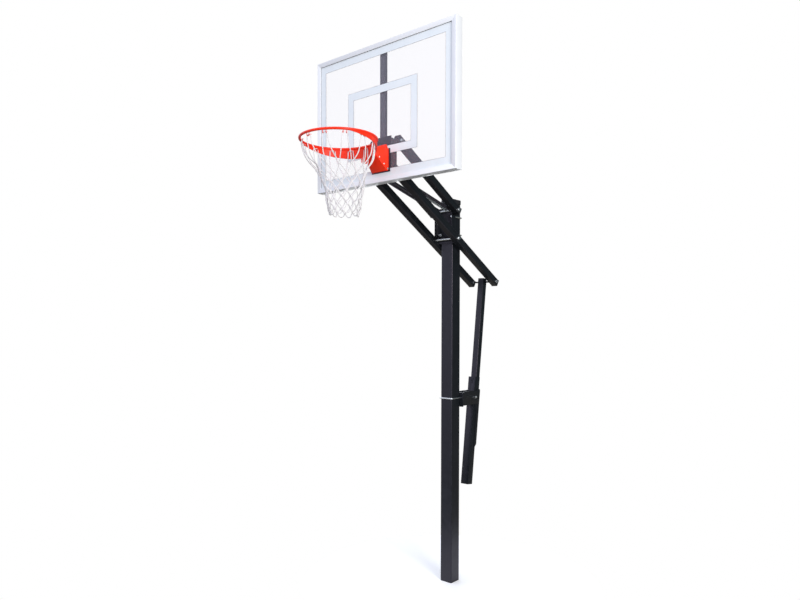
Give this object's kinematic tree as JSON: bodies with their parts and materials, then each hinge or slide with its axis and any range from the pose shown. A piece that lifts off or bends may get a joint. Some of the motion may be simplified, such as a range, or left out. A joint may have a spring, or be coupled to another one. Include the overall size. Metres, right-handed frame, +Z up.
{
  "type": "height-adjustable in-ground basketball hoop",
  "caption": "Basketball hoop on a square post: parallel lift arms with springs and a locking telescopic strut carry a clear framed backboard with a sprung ring and net.",
  "frame": {"origin": "centre of the post's square foot at ground level", "axes": "+Z up along the post, +Y away from the court behind the board, +X to the right as seen from the court"},
  "size_m": [1.2192, 1.8536, 3.7624],
  "materials": {
    "black_powder_coat": "satin black powder coat",
    "dark_plate": "satin dark powder coat",
    "black_plastic": "matte",
    "nylon": "matte",
    "zinc_plated": "bright zinc plate",
    "spring_steel": "oiled dark steel",
    "white_powder_coat": "satin white powder coat",
    "clear_acrylic": "clear, polished",
    "white_print": "printed white lines",
    "rim_orange": "gloss orange-red powder coat",
    "net_cord": "braided white nylon cord"
  },
  "bodies": {
    "post": {"post": "black_powder_coat", "post_cap": "black_plastic", "foot_plug": "black_plastic", "pivot_bracket": "black_powder_coat", "pivot_u_bolts": "zinc_plated", "pivot_nuts": "zinc_plated", "rear_axle_lower": "zinc_plated", "rear_axle_upper": "zinc_plated", "adjuster_bracket": "black_powder_coat", "adjuster_u_bolt": "zinc_plated", "adjuster_nuts": "zinc_plated", "strut_pivot_bolt": "zinc_plated"},
    "lower_arms": {"lower_arm_left": "black_powder_coat", "lower_arm_right": "black_powder_coat", "lower_arm_caps": "black_plastic", "lower_arm_bushings": "nylon", "strut_bolts": "zinc_plated"},
    "upper_arms": {"upper_arm_left": "black_powder_coat", "upper_arm_right": "black_powder_coat", "upper_arm_caps": "black_plastic", "upper_arm_bushings": "nylon"},
    "board": {"front_axle_lower": "zinc_plated", "front_axle_upper": "zinc_plated", "front_spacers": "black_powder_coat", "board_bracket": "black_powder_coat", "center_mast": "black_powder_coat", "mast_bolts": "zinc_plated", "frame_top": "white_powder_coat", "frame_bottom": "white_powder_coat", "frame_left": "white_powder_coat", "frame_right": "white_powder_coat", "backboard_panel": "clear_acrylic", "border_stripe": "white_print", "target_rectangle": "white_print", "rim_mount_plate": "dark_plate", "rim_bolts": "zinc_plated", "rim_spring_bolt": "zinc_plated"},
    "rim": {"rim_ring": "rim_orange", "rim_brace": "rim_orange", "rim_gusset": "rim_orange", "rim_housing": "rim_orange", "rim_rivets": "zinc_plated", "rim_hinge_pin": "zinc_plated", "rim_spring_seat": "rim_orange", "rim_spring": "zinc_plated", "net_hooks": "rim_orange", "net": "net_cord"},
    "strut_channel": {"strut_channel": "black_powder_coat", "strut_guides": "nylon", "channel_screw": "black_powder_coat"},
    "strut_tube": {"strut_tube": "black_powder_coat", "strut_tube_caps": "black_plastic", "tube_slider": "nylon", "strut_cross_rod": "black_powder_coat"},
    "release_lever": {"release_lever": "black_powder_coat", "lock_cam": "zinc_plated"},
    "springs_rear": {"lift_springs": "spring_steel", "spring_rear_hooks": "spring_steel"},
    "springs_front": {"spring_front_hooks": "spring_steel"}
  },
  "joints": [
    {"name": "lower_arm_pivot", "type": "hinge", "parent": "post", "child": "lower_arms", "pos_m": [0, -0.082, 2.539], "axis": [1, 0, 0], "range_deg": [0, 62.95]},
    {"name": "upper_arm_pivot", "type": "hinge", "parent": "post", "child": "upper_arms", "pos_m": [0, -0.082, 2.744], "axis": [1, 0, 0], "range_deg": [0, 62.95]},
    {"name": "board_pivot", "type": "hinge", "parent": "lower_arms", "child": "board", "pos_m": [0, -0.7142, 2.904], "axis": [1, 0, 0], "range_deg": [-62.95, 0]},
    {"name": "rim_flex", "type": "hinge", "parent": "board", "child": "rim", "pos_m": [0, -0.781, 2.924], "axis": [1, 0, 0], "range_deg": [0, 15], "stiffness_Nm_per_rad": 300, "springref_deg": -20.05, "deforming": ["rim_spring"]},
    {"name": "strut_pivot", "type": "hinge", "parent": "post", "child": "strut_channel", "pos_m": [0, 0.2734, 1.357], "axis": [1, 0, 0], "range_deg": [0, 3.34]},
    {"name": "strut_slide", "type": "slide", "parent": "strut_channel", "child": "strut_tube", "axis": [0, 0.1203, 0.9927], "range_m": [0, 0.59358]},
    {"name": "lever_pull", "type": "hinge", "parent": "strut_channel", "child": "release_lever", "pos_m": [0, 0.2734, 1.357], "axis": [1, 0, 0], "range_deg": [0, 10], "stiffness_Nm_per_rad": 5, "springref_deg": -17.19},
    {"name": "spring_swing", "type": "hinge", "parent": "post", "child": "springs_rear", "pos_m": [0, -0.082, 2.744], "axis": [1, 0, 0], "range_deg": [0, 58.7]},
    {"name": "spring_stretch", "type": "slide", "parent": "springs_rear", "child": "springs_front", "axis": [0, -0.9694, 0.2453], "range_m": [0, 0.20676], "deforming": ["lift_springs", "spring_front_hooks"]}
  ],
  "couplings": [
    {"joint": "upper_arm_pivot", "follows": "lower_arm_pivot", "ratio": 1},
    {"joint": "board_pivot", "follows": "lower_arm_pivot", "ratio": -1},
    {"joint": "strut_pivot", "follows": "lower_arm_pivot", "ratio": 0.053046},
    {"joint": "strut_slide", "follows": "lower_arm_pivot", "m_per_rad": 0.54031},
    {"joint": "spring_swing", "follows": "lower_arm_pivot", "ratio": 0.93259},
    {"joint": "spring_stretch", "follows": "lower_arm_pivot", "m_per_rad": 0.1882}
  ]
}
